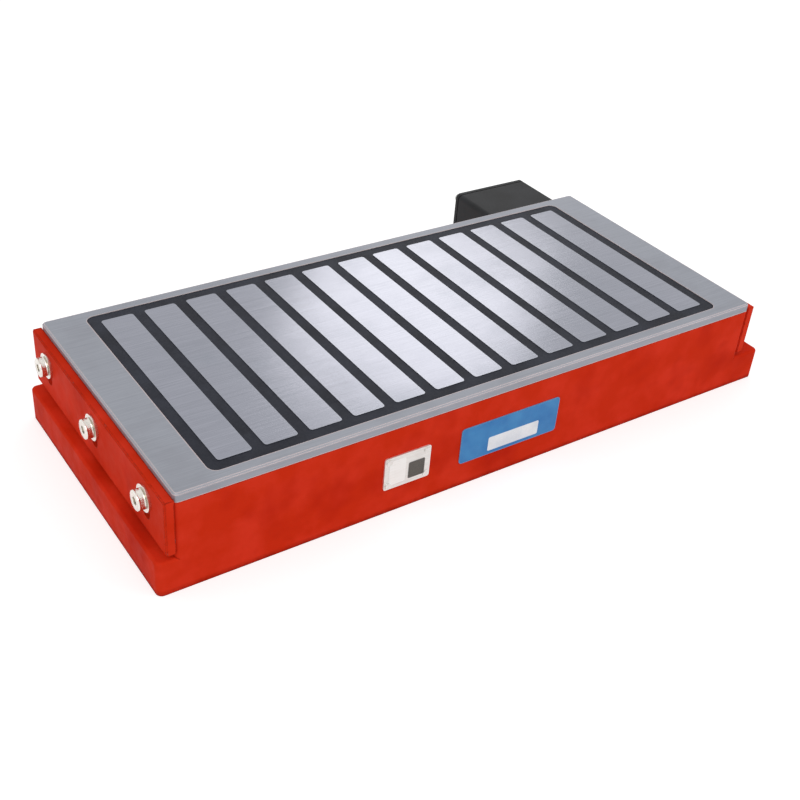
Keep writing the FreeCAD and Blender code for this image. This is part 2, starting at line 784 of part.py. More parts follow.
def make_rim_screws():
    seat = s.head_play + s.rim_screw_radius * 2
    grip = rim_seat + s.rim_screw_grip - seat
    cylinder_head_screws("rim_screws", "XY_Plane", rim_screw_places(), seat, s.rim_screw_radius, grip, -1)


# ---- end stops ------------------------------------------------------------------------------


def make_stop_rail(label, end):
    """Strip with three upright slots. At rest the screws stand at the top of the slots."""
    body = new_body(label)
    outline = new_sketch(body, label + "Outline", "YZ_Plane", rail_inside * end)
    add_rectangle(outline, -half_width, half_width, rail_bottom, rail_top)
    pad(body, outline, s.rail_thickness, end < 0)
    face = number_of(rail_outside * end)

    def outer_edge(edge):
        box = edge.BoundBox
        return near(box.XMin, face) and near(box.XMax, face)

    dress("Chamfer", body, s.rail_edge, outer_edge)
    slots = new_sketch(body, label + "Slots", "YZ_Plane", rail_outside * end)
    radius = s.stop_screw_radius + s.slot_play
    for _, across in stop_screw_places():
        low = stop_level - s.rail_travel - radius
        high = stop_level + radius
        add_slot(slots, across, low, high, radius)
    pocket(body, slots, s.rail_thickness, end < 0)


def add_slot(sketch, across, low, high, radius):
    """An upright slot from low to high, round at both ends."""
    first = sketch.GeometryCount
    x, y0, y1, r = [number_of(value) for value in (across, low, high, radius)]
    vector = FreeCAD.Vector
    up = vector(0, 0, 1)
    upper = Part.Circle(vector(x, y1 - r, 0), up, r)
    lower = Part.Circle(vector(x, y0 + r, 0), up, r)
    sketch.addGeometry(Part.ArcOfCircle(upper, 0, math.pi))
    sketch.addGeometry(Part.LineSegment(vector(x - r, y1 - r, 0), vector(x - r, y0 + r, 0)))
    sketch.addGeometry(Part.ArcOfCircle(lower, math.pi, math.pi * 2))
    sketch.addGeometry(Part.LineSegment(vector(x + r, y0 + r, 0), vector(x + r, y1 - r, 0)))
    for index in range(4):
        following = first + (index + 1) % 4
        sketch.addConstraint(Sketcher.Constraint("Tangent", first + index, 2, following, 1))
    sketch.addConstraint(Sketcher.Constraint("Vertical", first + 1))
    fix(sketch, "Radius", first, radius)
    fix_point(sketch, first, 3, across, high - radius)
    fix(sketch, "DistanceY", -1, 1, first + 2, 3, low + radius)


def make_stop_washers(label, end):
    body = new_body(label)
    ring = new_sketch(body, label + "Ring", "YZ_Plane", washer_inside * end)
    for _, across in stop_screw_places():
        add_circle(ring, across, stop_level, s.washer_radius)
        add_circle(ring, across, stop_level, s.stop_screw_radius + s.screw_play)
    pad(body, ring, s.washer_thickness, end < 0)


def make_stop_screw(label, end, across):
    radius = s.stop_screw_radius
    grip = washer_outside - half_length + s.stop_screw_grip
    places = [(across, stop_level)]
    head = s.stop_head_height
    seat = washer_outside * end
    body, _ = cylinder_head_screws(label, "YZ_Plane", places, seat, radius, grip, end, head)
    face = number_of((washer_outside + head) * end)
    width = number_of(head_radius(radius))

    def head_rim(edge):
        box = edge.BoundBox
        return near(box.XMin, face) and near(box.XMax, face) and near(box.ZLength, width * 2, 0.1)

    dress("Fillet", body, s.stop_head_edge, head_rim)


def make_end_stops():
    for side, end in (("left", -1), ("right", 1)):
        make_stop_rail(side + "_stop_rail", end)
        make_stop_washers(side + "_stop_washers", end)
        for place, across in stop_screw_places():
            make_stop_screw("%s_stop_screw_%s" % (side, place), end, across)


# ---- plates on the front --------------------------------------------------------------------


def make_rating_plate():
    body = new_body("rating_plate")
    outline = new_sketch(body, "RatingOutline", "XZ_Plane", half_width)
    add_round_rectangle(outline, rating_left, rating_right, rating_bottom, rating_top, s.rating_corner)
    for across, up in rivet_places():
        add_circle(outline, across, up, s.rivet_radius)
    pad(body, outline, s.plate_sheet)

    body = new_body("rating_plate_rivets")
    shanks = new_sketch(body, "RivetShank", "XZ_Plane", half_width + s.plate_sheet)
    heads = new_sketch(body, "RivetHead", "XZ_Plane", half_width + s.plate_sheet)
    wide, high = rivet_head(s.rivet_radius)
    for across, up in rivet_places():
        add_circle(shanks, across, up, s.rivet_radius)
        add_circle(heads, across, up, wide)
    pad(body, shanks, s.plate_sheet + s.rivet_grip, True)
    pad(body, heads, high)


def make_front_label():
    body = new_body("front_label")
    outline = new_sketch(body, "LabelOutline", "XZ_Plane", half_width)
    left = s.label_place - s.label_length / 2
    right = s.label_place + s.label_length / 2
    bottom = s.label_level - s.label_height / 2
    top = s.label_level + s.label_height / 2
    add_round_rectangle(outline, left, right, bottom, top, s.label_corner)
    pad(body, outline, s.label_sheet)


# ---- terminal box ---------------------------------------------------------------------------


def add_box_outline(sketch, inset=0):
    left = box_left + inset
    right = box_right - inset
    add_round_rectangle(sketch, left, right, s.box_bottom + inset, box_top - inset, s.box_corner)


def make_terminal_box():
    body = new_body("terminal_box")
    outline = new_sketch(body, "BoxOutline", "XZ_Plane", -box_front)
    add_box_outline(outline)
    pad(body, outline, s.box_depth, True)
    hollow = new_sketch(body, "BoxHollow", "XZ_Plane", -box_back)
    add_box_outline(hollow, s.box_wall)
    pocket(body, hollow, s.box_depth - s.box_wall, True)
    posts = new_sketch(body, "BoxPosts", "XZ_Plane", -(box_back - s.cover_screw_grip - s.box_wall))
    for across, up in cover_screw_places():
        add_circle(posts, across, up, s.post_radius)
    pad(body, posts, s.cover_screw_grip + s.box_wall, True)
    tapped = new_sketch(body, "BoxTapped", "XZ_Plane", -box_back)
    for across, up in cover_screw_places():
        add_circle(tapped, across, up, s.cover_screw_radius)
    pocket(body, tapped, s.cover_screw_grip, True)
    wall = new_sketch(body, "BoxWallHoles", "XZ_Plane", -box_front)
    for across, up in box_screw_places():
        add_circle(wall, across, up, s.box_screw_radius + s.screw_play)
    add_circle(wall, wire_hole_place, lead_level, s.wire_hole_radius)
    pocket(body, wall, s.box_wall)
    cable = new_sketch(body, "BoxCableHole", "YZ_Plane", box_right)
    add_circle(cable, box_middle, gland_level, s.gland_thread_radius + s.screw_play)
    pocket(body, cable, s.box_wall)


def make_box_gasket():
    body = new_body("terminal_box_gasket")
    outline = new_sketch(body, "BoxGasketOutline", "XZ_Plane", -half_width)
    add_box_outline(outline, s.gasket_inset)
    for across, up in box_screw_places():
        add_circle(outline, across, up, s.box_screw_radius + s.screw_play)
    add_circle(outline, wire_hole_place, lead_level, s.wire_hole_radius)
    pad(body, outline, s.gasket_thickness, True)


def make_box_screws():
    places = box_screw_places()
    grip = s.box_wall + s.gasket_thickness + back_grip
    seat = -(box_front + s.box_wall)
    cylinder_head_screws("terminal_box_screws", "XZ_Plane", places, seat, s.box_screw_radius, grip, -1)


def make_terminal_cover():
    body = new_body("terminal_cover")
    outline = new_sketch(body, "CoverOutline", "XZ_Plane", -cover_inside)
    add_box_outline(outline)
    for across, up in cover_screw_places():
        add_circle(outline, across, up, s.cover_screw_radius + s.screw_play)
    pad(body, outline, s.cover_thickness, True)
    face = number_of(cover_outside)

    def outer_edge(edge):
        """Of the edges on the outer face, only those of the screw holes are closed."""
        box = edge.BoundBox
        return near(box.YMin, face) and near(box.YMax, face) and not edge.isClosed()

    dress("Chamfer", body, s.cover_edge, outer_edge)

    gasket = new_body("terminal_cover_gasket")
    outline = new_sketch(gasket, "CoverGasketOutline", "XZ_Plane", -box_back)
    add_box_outline(outline, s.gasket_inset)
    add_box_outline(outline, s.box_wall + s.post_radius * 2)
    for across, up in cover_screw_places():
        add_circle(outline, across, up, s.cover_screw_radius + s.screw_play)
    pad(gasket, outline, s.gasket_thickness, True)

    grip = s.cover_thickness + s.gasket_thickness + s.cover_screw_grip
    places = cover_screw_places()
    seat = -cover_outside
    cylinder_head_screws("terminal_cover_screws", "XZ_Plane", places, seat, s.cover_screw_radius, grip, -1)


def make_grommet():
    body = new_body("wall_grommet")
    outline = new_sketch(body, "GrommetOutline", "XZ_Plane", -(half_width - s.box_wall))
    add_circle(outline, wire_hole_place, lead_level, s.wire_hole_radius)
    add_circle(outline, wire_hole_place, lead_level, s.lead_radius + s.lead_play)
    pad(body, outline, s.box_wall * 2 + s.gasket_thickness, True)


def make_terminal_block():
    """Moulded block on the inside of the box's front wall, with three clamp screws facing out."""
    body = new_body("terminal_block")
    front = box_front + s.box_wall
    outline = new_sketch(body, "BlockOutline", "XZ_Plane", -front)
    low = lead_level - s.block_height / 2
    high = lead_level + s.block_height / 2
    add_round_rectangle(outline, block_left, block_right, low, high, s.block_corner)
    pad(body, outline, s.block_depth, True)
    middle = (block_left + block_right) / 2
    terminals = [middle - s.block_step, middle, middle + s.block_step]
    wells = new_sketch(body, "BlockWells", "XZ_Plane", -(front + s.block_depth))
    for across in terminals:
        add_circle(wells, across, lead_level, s.well_radius)
    pocket(body, wells, s.block_depth / 2, True)
    grooves = new_sketch(body, "BlockGrooves", "XZ_Plane", -(front + s.block_depth))
    aside = s.block_groove / 2
    for across in (middle - s.block_step / 2, middle + s.block_step / 2):
        add_rectangle(grooves, across - aside, across + aside, low - s.block_groove, high + s.block_groove)
    pocket(body, grooves, s.block_depth / 4, True)

    body = new_body("terminal_clamp_screws")
    head = s.block_depth / 4
    heads = new_sketch(body, "ClampHead", "XZ_Plane", -(front + s.block_depth / 2))
    slits = new_sketch(body, "ClampSlit", "XZ_Plane", -(front + s.block_depth / 2 + head))
    slit = s.well_radius / 5
    reach = s.well_radius * 2
    for across in terminals:
        add_circle(heads, across, lead_level, s.well_radius)
        add_rectangle(slits, across - slit, across + slit, lead_level - reach, lead_level + reach)
    pad(body, heads, head, True)
    pocket(body, slits, head / 3, True)


# ---- cable gland ----------------------------------------------------------------------------


def ring_on_gland(body, name, start, length, inner, outer=None, flats=None):
    sketch = new_sketch(body, name, "YZ_Plane", start)
    if flats is None:
        add_circle(sketch, box_middle, gland_level, outer)
    else:
        add_hexagon(sketch, box_middle, gland_level, flats)
    add_circle(sketch, box_middle, gland_level, inner)
    return pad(body, sketch, length)


def make_cable_gland():
    thread = s.gland_thread_radius
    body = new_body("gland_body")
    into_box = s.box_wall + s.locknut_height
    ring_on_gland(body, "GlandThread", locknut_inside, into_box, s.gland_bore, thread)
    ring_on_gland(body, "GlandFlange", box_right, s.gland_flange, s.gland_bore, flats=s.gland_hex)
    ring_on_gland(body, "GlandNeck", flange_outside, s.gland_neck, s.gland_bore, thread)

    body = new_body("gland_locknut")
    hole = thread + s.screw_play
    ring_on_gland(body, "LocknutRing", locknut_inside, s.locknut_height, hole, flats=s.gland_hex)

    body = new_body("gland_seal")
    start = flange_outside + s.screw_play
    ring_on_gland(body, "SealRing", start, s.gland_neck, s.cable_radius, s.gland_bore - s.seal_play)

    body = new_body("gland_nut")
    skirt = neck_outside + s.screw_play - (flange_outside + s.head_play)
    ring_on_gland(body, "NutSkirt", flange_outside + s.head_play, skirt, hole, flats=s.gland_hex)
    radius = s.gland_hex / 2
    ring_on_gland(body, "NutEnd", neck_outside + s.screw_play, s.gland_nut_wall, s.cable_radius, radius)
    face = number_of(neck_outside + s.screw_play + s.gland_nut_wall)
    width = number_of(radius) * 2

    def mouth(edge):
        box = edge.BoundBox
        return near(box.XMin, face) and near(box.XMax, face) and near(box.ZLength, width, 0.1)

    dress("Fillet", body, s.gland_nut_wall / 2, mouth)


def make_earth_screw():
    body = new_body("earth_washer")
    ring = new_sketch(body, "EarthRing", "XZ_Plane", -half_width)
    add_circle(ring, earth_place, s.earth_level, s.earth_washer_radius)
    add_circle(ring, earth_place, s.earth_level, s.earth_radius + s.screw_play)
    pad(body, ring, s.earth_washer_height, True)

    body = new_body("earth_screw")
    seat = half_width + s.earth_washer_height
    head = new_sketch(body, "EarthHead", "XZ_Plane", -seat)
    add_hexagon(head, earth_place, s.earth_level, s.earth_hex)
    pad(body, head, s.earth_head_height, True)
    shank = new_sketch(body, "EarthShank", "XZ_Plane", -seat)
    add_circle(shank, earth_place, s.earth_level, s.earth_radius)
    pad(body, shank, s.earth_washer_height + back_grip)


# ---- build, check and write -----------------------------------------------------------------


def build():
    make_housing()
    make_rim_plate()
    make_pole_bars("north_pole_bars", first_core, core_count)
    make_pole_bars("south_pole_bars", first_bar, core_count + 1)
    make_pole_separator()
    make_pole_cores()
    make_coil_bobbins()
    make_field_coils()
    make_potting_slabs()
    make_coil_leads()
    make_pole_screws()
    make_rim_screws()
    make_end_stops()
    make_rating_plate()
    make_front_label()
    make_terminal_box()
    make_box_gasket()
    make_box_screws()
    make_terminal_cover()
    make_grommet()
    make_terminal_block()
    make_cable_gland()
    make_earth_screw()
    doc.recompute()


def check():
    for item in doc.Objects:
        if "Invalid" in item.State or "Error" in item.State:
            raise ValueError("%s failed: %s" % (item.Name, item.State))
    for piece in pieces:
        if piece.Shape.isNull() or not piece.Shape.isValid():
            raise ValueError("%s has no valid shape" % piece.Label)


def write():
    os.makedirs("parts", exist_ok=True)
    for piece in pieces:
        piece.Shape.exportStep("parts/%s.step" % piece.Label)
        print("%-28s %2d solids %11.1f mm3" % (piece.Label, len(piece.Shape.Solids), piece.Shape.Volume))


build()
check()
write()
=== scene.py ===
import json
import math

import bmesh
import bpy
from mathutils import Matrix, Vector


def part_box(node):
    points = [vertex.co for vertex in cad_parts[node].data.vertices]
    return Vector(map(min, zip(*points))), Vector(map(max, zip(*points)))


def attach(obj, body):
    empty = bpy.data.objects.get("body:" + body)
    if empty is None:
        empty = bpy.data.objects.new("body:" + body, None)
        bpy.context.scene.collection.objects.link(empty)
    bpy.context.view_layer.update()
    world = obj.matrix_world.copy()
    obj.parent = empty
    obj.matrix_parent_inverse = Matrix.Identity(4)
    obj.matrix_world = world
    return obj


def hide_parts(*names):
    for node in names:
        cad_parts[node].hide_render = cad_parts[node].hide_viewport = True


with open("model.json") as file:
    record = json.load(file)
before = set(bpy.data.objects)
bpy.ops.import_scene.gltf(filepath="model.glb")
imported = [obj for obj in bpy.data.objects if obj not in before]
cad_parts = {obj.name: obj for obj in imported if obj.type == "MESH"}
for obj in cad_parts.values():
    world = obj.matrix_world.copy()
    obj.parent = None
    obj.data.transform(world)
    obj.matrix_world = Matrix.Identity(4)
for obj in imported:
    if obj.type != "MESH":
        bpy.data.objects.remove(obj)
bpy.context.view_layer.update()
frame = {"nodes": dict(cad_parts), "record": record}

slotOf = {part["node"]: part["material_slot"] for part in frame["record"]["subparts"]}
print("frame loaded:", len(frame["nodes"]), "nodes")


# colours are written as 0-255 screen values
def screen(red, green, blue):
    def linear(value):
        value = value / 255
        return value / 12.92 if value <= 0.04045 else ((value + 0.055) / 1.055) ** 2.4
    return (linear(red), linear(green), linear(blue), 1.0)


# shader helpers
def startFinish(name):
    finish = bpy.data.materials.new(name)
    finish.use_nodes = True
    nodes = finish.node_tree.nodes
    nodes.clear()
    out = nodes.new("ShaderNodeOutputMaterial")
    shader = nodes.new("ShaderNodeBsdfPrincipled")
    finish.node_tree.links.new(shader.outputs["BSDF"], out.inputs["Surface"])
    return finish, shader


def addNode(finish, kind, **settings):
    made = finish.node_tree.nodes.new("ShaderNode" + kind)
    for key, value in settings.items():
        setattr(made, key, value)
    return made


def connect(finish, source, target):
    finish.node_tree.links.new(source, target)


def objectPlace(finish, output="Object"):
    return addNode(finish, "TexCoord").outputs[output]


# cloudy grain whose lumps are about size metres, longer along an axis with a larger stretch
def grain(finish, size, stretch=(1, 1, 1), detail=4.0, roughness=0.55, seed=0.0):
    mapping = addNode(finish, "Mapping")
    mapping.inputs["Scale"].default_value = [1 / (size * part) for part in stretch]
    mapping.inputs["Location"].default_value = (seed, seed * 0.7, seed * 1.3)
    connect(finish, objectPlace(finish), mapping.inputs["Vector"])
    cloud = addNode(finish, "TexNoise")
    cloud.inputs["Scale"].default_value = 1.0
    cloud.inputs["Detail"].default_value = detail
    cloud.inputs["Roughness"].default_value = roughness
    connect(finish, mapping.outputs["Vector"], cloud.inputs["Vector"])
    return cloud.outputs["Fac"]


def remap(finish, value, fromLow, fromHigh, toLow=0.0, toHigh=1.0):
    made = addNode(finish, "MapRange", clamp=True)
    limits = {"From Min": fromLow, "From Max": fromHigh, "To Min": toLow, "To Max": toHigh}
    for name, number in limits.items():
        made.inputs[name].default_value = number
    connect(finish, value, made.inputs["Value"])
    return made.outputs["Result"]


def combine(finish, operation, first, second):
    made = addNode(finish, "Math", operation=operation, use_clamp=True)
    for socket, value in zip(made.inputs, (first, second)):
        if isinstance(value, (int, float)):
            socket.default_value = value
        else:
            connect(finish, value, socket)
    return made.outputs[0]


# mask 0 gives the first colour and mask 1 the second
def tint(finish, mask, first, second):
    made = addNode(finish, "Mix", data_type="RGBA")
    connect(finish, mask, made.inputs["Factor"])
    for socket, value in ((made.inputs[6], first), (made.inputs[7], second)):
        if isinstance(value, tuple):
            socket.default_value = value
        else:
            connect(finish, value, socket)
    return made.outputs[2]


def relief(finish, height, depth, under=None):
    made = addNode(finish, "Bump")
    made.inputs["Strength"].default_value = 1.0
    made.inputs["Distance"].default_value = depth
    connect(finish, height, made.inputs["Height"])
    if under:
        connect(finish, under, made.inputs["Normal"])
    return made.outputs["Normal"]


# 1 on convex and concave edges, 0 on flats
def edgeMask(finish, radius):
    rounded = addNode(finish, "Bevel", samples=4)
    rounded.inputs["Radius"].default_value = radius
    shape = addNode(finish, "NewGeometry")
    facing = addNode(finish, "VectorMath", operation="DOT_PRODUCT")
    connect(finish, rounded.outputs["Normal"], facing.inputs[0])
    connect(finish, shape.outputs["Normal"], facing.inputs[1])
    return remap(finish, facing.outputs["Value"], 0.995, 0.9)


def heightOf(finish):
    parts = addNode(finish, "SeparateXYZ")
    connect(finish, objectPlace(finish), parts.inputs[0])
    return parts.outputs["Z"]


# finishes
paintLook = {
    "main": screen(212, 48, 20), "bright": screen(223, 56, 33), "deep": screen(194, 36, 14),
    # the last colour on the next line is painted shade, laid on the bottom few millimetres of the body
    "edgeDarkening": screen(112, 20, 8), "iron": screen(96, 92, 92), "bottomShade": screen(138, 22, 6),
    "patchSize": 0.03, "settledSize": 0.054, "scuffSize": 0.004, "bottomShadeGrainSize": 0.006, "peelSize": 0.0016,
    "castSize": 0.009, "peelDepth": 0.00006, "castDepth": 0.00035, "wearRadius": 0.0014, "bottomShadeHeight": 0.004,
    "rough": (0.42, 0.56), "specular": 0.015,
}


def makeRedPaint(name, look):
    finish, shader = startFinish(name)
    patches = grain(finish, look["patchSize"], detail=5, seed=3.1)
    colour = tint(finish, remap(finish, patches, 0.42, 0.62), look["main"], look["bright"])
    settled = remap(finish, grain(finish, look["settledSize"], detail=3, seed=8.4), 0.52, 0.72)
    colour = tint(finish, settled, colour, look["deep"])
    edges = edgeMask(finish, look["wearRadius"])
    scuffs = grain(finish, look["scuffSize"], detail=6, roughness=0.7, seed=1.7)
    # the edges, convex and concave, are darkened where the scuff grain is high
    darkenedEdges = combine(finish, "MULTIPLY", edges, remap(finish, scuffs, 0.3, 0.6))
    colour = tint(finish, darkenedEdges, colour, look["edgeDarkening"])
    # painted shade: the red darkens towards the bottom, within a few millimetres of the floor, broken up by a
    # grain, standing in for the contact shade where the body meets the floor
    low = remap(finish, heightOf(finish), look["bottomShadeHeight"], 0.0)
    bottomShadeGrain = grain(finish, look["bottomShadeGrainSize"], detail=5, roughness=0.65, seed=9.3)
    bottomShadeBreakup = remap(finish, bottomShadeGrain, 0.35, 0.6, 0.35, 0.9)
    colour = tint(finish, combine(finish, "MULTIPLY", low, bottomShadeBreakup), colour, look["bottomShade"])
    chips = combine(finish, "MULTIPLY", edges, remap(finish, scuffs, 0.60, 0.64))
    connect(finish, tint(finish, chips, colour, look["iron"]), shader.inputs["Base Color"])
    peel = grain(finish, look["peelSize"], detail=2, seed=2.0)
    cast = grain(finish, look["castSize"], detail=4, seed=6.5)
    connect(finish, remap(finish, cast, 0.3, 0.7, *look["rough"]), shader.inputs["Roughness"])
    lumps = relief(finish, cast, look["castDepth"])
    connect(finish, relief(finish, peel, look["peelDepth"], lumps), shader.inputs["Normal"])
    shader.inputs["Specular IOR Level"].default_value = look["specular"]
    return finish


# metals: lay is the direction in which the finish's fine lines run
def makeMetal(name, look):
    finish, shader = startFinish(name)
    lines = grain(finish, look["lineSize"], stretch=look["lay"], detail=5, roughness=0.65, seed=look["seed"])
    clouds = grain(finish, look["cloudSize"], detail=4, seed=look["seed"] + 4)
    colour = tint(finish, remap(finish, lines, 0.28, 0.72), look["dark"], look["light"])
    colour = tint(finish, remap(finish, clouds, 0.5, 0.8, 0.0, look["stained"]), colour, look["stain"])
    edges = edgeMask(finish, look["edgeRadius"])
    # edges take the edge colour; on the ground_steel rim plate this is a painted highlight
    colour = tint(finish, combine(finish, "MULTIPLY", edges, look["edgeAmount"]), colour, look["edge"])
    connect(finish, colour, shader.inputs["Base Color"])
    shader.inputs["Metallic"].default_value = look["metallic"]
    rough = combine(finish, "ADD", remap(finish, lines, 0.3, 0.7, *look["rough"]),
                    remap(finish, clouds, 0.4, 0.8, 0.0, look["smear"]))
    connect(finish, rough, shader.inputs["Roughness"])
    connect(finish, relief(finish, lines, look["depth"]), shader.inputs["Normal"])
    return finish


# plastics, rubbers, resins and cured lacquers
def makeMoulded(name, look):
    finish, shader = startFinish(name)
    clouds = grain(finish, look["cloudSize"], detail=4, seed=look["seed"])
    colour = tint(finish, remap(finish, clouds, 0.35, 0.65), look["dark"], look["light"])
    edges = edgeMask(finish, look["edgeRadius"])
    colour = tint(finish, combine(finish, "MULTIPLY", edges, look["edgeAmount"]), colour, look["edge"])
    connect(finish, colour, shader.inputs["Base Color"])
    pits = grain(finish, look["pitSize"], detail=3, seed=look["seed"] + 2)
    connect(finish, remap(finish, pits, 0.3, 0.7, *look["rough"]), shader.inputs["Roughness"])
    connect(finish, relief(finish, pits, look["depth"]), shader.inputs["Normal"])
    shader.inputs["Specular IOR Level"].default_value = look["specular"]
    shader.inputs["Coat Weight"].default_value = look["coat"]
    shader.inputs["Coat Roughness"].default_value = 0.12
    return finish


metalBase = {
    "dark": screen(150, 152, 160), "light": screen(176, 178, 186), "stain": screen(120, 118, 120),
    "stained": 0.25,
    "edge": screen(215, 216, 220), "edgeAmount": 0.5, "edgeRadius": 0.0006, "lineSize": 0.0005,
    "lay": (60, 1, 1), "cloudSize": 0.04, "rough": (0.36, 0.5), "smear": 0.08, "metallic": 0.9,
    "depth": 0.00001, "seed": 1.0,
}
metals = {
    # ground_steel's edge colour is a painted highlight: the chamfered edges are lightened in place of the
    # floor's reflection on them
    "ground_steel": {"dark": screen(144, 147, 155), "light": screen(165, 168, 177), "rough": (0.5, 0.62),
                     "metallic": 0.7, "edge": screen(228, 206, 202), "edgeAmount": 0.85, "edgeRadius": 0.0011,
                     "stain": screen(126, 124, 130), "seed": 2.0},
    "pole_steel": {"dark": screen(140, 142, 152), "light": screen(159, 161, 172), "rough": (0.16, 0.22),
                   "smear": 0.05,
                   "stain": screen(124, 130, 140), "edgeAmount": 0.25, "edge": screen(186, 188, 194),
                   "seed": 5.0},
    "core_steel": {"dark": screen(92, 92, 96), "light": screen(120, 120, 124), "lay": (1, 1, 1), "seed": 7.0},
    "copper_winding": {"dark": screen(150, 78, 42), "light": screen(196, 110, 66),
                       "stain": screen(96, 48, 30),
                       "lay": (1, 1, 1), "rough": (0.28, 0.4), "seed": 9.0},
    "dark_screw": {"dark": screen(46, 46, 50), "light": screen(66, 66, 70), "edge": screen(128, 128, 130),
                   "lay": (1, 1, 1), "rough": (0.38, 0.5), "metallic": 0.8, "seed": 11.0},
    "chrome_screw": {"dark": screen(214, 208, 200), "light": screen(240, 236, 228),
                     "stain": screen(150, 146, 142),
                     "edge": screen(250, 248, 244), "lay": (1, 1, 1), "lineSize": 0.0009, "cloudSize": 0.006,
                     "rough": (0.14, 0.24), "metallic": 1.0, "edgeRadius": 0.0004, "seed": 13.0},
    "zinc": {"dark": screen(176, 178, 176), "light": screen(206, 208, 204), "lay": (1, 1, 1),
             "lineSize": 0.002,
             "cloudSize": 0.008, "rough": (0.3, 0.42), "seed": 15.0},
    "rating_metal": {"dark": screen(214, 212, 208), "light": screen(236, 234, 230),
                     "stain": screen(176, 170, 166),
                     "edge": screen(248, 247, 245), "lay": (30, 1, 1), "lineSize": 0.0004, "cloudSize": 0.012,
                     "rough": (0.34, 0.46), "metallic": 0.65, "seed": 17.0},
    "brass": {"dark": screen(178, 140, 70), "light": screen(212, 176, 100), "stain": screen(120, 92, 48),
              "lay": (1, 1, 1), "rough": (0.26, 0.4), "seed": 19.0},
}
mouldedBase = {
    "dark": screen(40, 40, 42), "light": screen(52, 52, 55), "edge": screen(84, 84, 86), "edgeAmount": 0.4,
    "edgeRadius": 0.0006, "cloudSize": 0.02, "pitSize": 0.0008, "rough": (0.42, 0.56), "depth": 0.00004,
    "specular": 0.5, "coat": 0.0, "seed": 31.0,
}
moulded = {
    "dark_resin": {"dark": screen(26, 28, 38), "light": screen(40, 43, 54), "edge": screen(18, 20, 27),
                   "pitSize": 0.0012, "rough": (0.5, 0.65), "specular": 0.2, "seed": 33.0},
    "potting_resin": {"dark": screen(62, 54, 44), "light": screen(84, 74, 60), "coat": 0.4, "seed": 35.0},
    "bobbin_plastic": {"dark": screen(196, 190, 172), "light": screen(214, 208, 192),
                       "edge": screen(226, 222, 210),
                       "seed": 37.0},
    "lead_sleeve": {"dark": screen(160, 150, 118), "light": screen(186, 176, 140), "pitSize": 0.0005,
                    "seed": 39.0},
    "blue_label": {"dark": screen(34, 116, 184), "light": screen(60, 140, 200), "edge": screen(120, 176, 214),
                   "edgeAmount": 0.8, "edgeRadius": 0.0009, "cloudSize": 0.02, "pitSize": 0.003,
                   "depth": 0.00001,
                   "rough": (0.3, 0.4), "specular": 0.3, "seed": 41.0},
    "black_box": {"dark": screen(22, 23, 25), "light": screen(33, 34, 37), "edge": screen(72, 72, 75),
                  "rough": (0.55, 0.7), "depth": 0.00008, "specular": 0.3, "seed": 43.0},
    "black_rubber": {"dark": screen(24, 24, 25), "light": screen(34, 34, 35), "rough": (0.65, 0.8),
                     "seed": 45.0},
    "block_plastic": {"dark": screen(208, 204, 190), "light": screen(222, 219, 206), "seed": 47.0},
}
finishes = {"red_paint": makeRedPaint("redPaint", paintLook)}
for slotName, look in metals.items():
    finishes[slotName] = makeMetal(slotName, {**metalBase, **look})
for slotName, look in moulded.items():
    finishes[slotName] = makeMoulded(slotName, {**mouldedBase, **look})
for nodeName, piece in frame["nodes"].items():
    piece.data.materials.clear()
    piece.data.materials.append(finishes[slotOf[nodeName]])
print("finishes made:", len(finishes))


def finishPiece(name, mesh, finish, body, smooth=35):
    data = bpy.data.meshes.new(name)
    bmesh.ops.recalc_face_normals(mesh, faces=mesh.faces)
    mesh.to_mesh(data)
    mesh.free()
    piece = bpy.data.objects.new(name, data)
    bpy.context.scene.collection.objects.link(piece)
    data.materials.append(finish)
    data.shade_smooth()
    data.set_sharp_from_angle(angle=math.radians(smooth))
    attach(piece, body)
    return piece


# rings are lists of points, all the same length, joined in order and closed at both ends
def skinRings(mesh, rings):
    made = [[mesh.verts.new(point) for point in ring] for ring in rings]
    count = len(made[0])
    for near, far in zip(made, made[1:]):
        for step in range(count):
            after = (step + 1) % count
            mesh.faces.new((near[step], near[after], far[after], far[step]))
    mesh.faces.new(made[0][::-1])
    mesh.faces.new(made[-1])


# clamp screws of the end stops: knurled socket heads with cut threads
screwSizes = {
    "steps": 120, "headHeight": 0.005, "chamfer": 0.0008, "ridges": 40, "ridgeDepth": 0.00024,
    "knurlRows": 10,
    "knurlFade": 1.5, "knurlSlant": 0.0016, "headFoot": 0.0006, "socketAcross": 0.005, "socketDepth": 0.0026,
    "socketPoint": 0.0012, "pointRadius": 0.0002, "rimDepth": 0.0003, "rimWidth": 0.0004,
    "shankRadius": 0.004,
    "plainShank": 0.006, "pitch": 0.00125, "threadDepth": 0.0006, "threadSteps": 6, "tipLength": 0.001,
    "tipCut": 0.0012,
}


# each reach function gives a ring's radius at an angle
def roundReach(radius):
    return lambda angle: radius


def hexReach(across, wider=0.0):
    return lambda angle: across / 2 / math.cos((angle % (math.pi / 3)) - math.pi / 6) + wider


def knurlReach(radius, sizes, along, fade):
    def reach(angle):
        turns = angle / (2 * math.pi) * sizes["ridges"]
        slant = along / sizes["knurlSlant"]
        left = abs((turns + slant) % 1 - 0.5) * 2
        right = abs((turns - slant) % 1 - 0.5) * 2
        return radius - sizes["ridgeDepth"] * fade * (1 - min(left, right))
    return reach


def threadReach(sizes, row):
    grow = min(1, row / sizes["threadSteps"])

    def reach(angle):
        turn = (row / sizes["threadSteps"] + angle / (2 * math.pi)) % 1
        return sizes["shankRadius"] - sizes["threadDepth"] * grow * (1 - abs(turn - 0.5) * 2)
    return reach


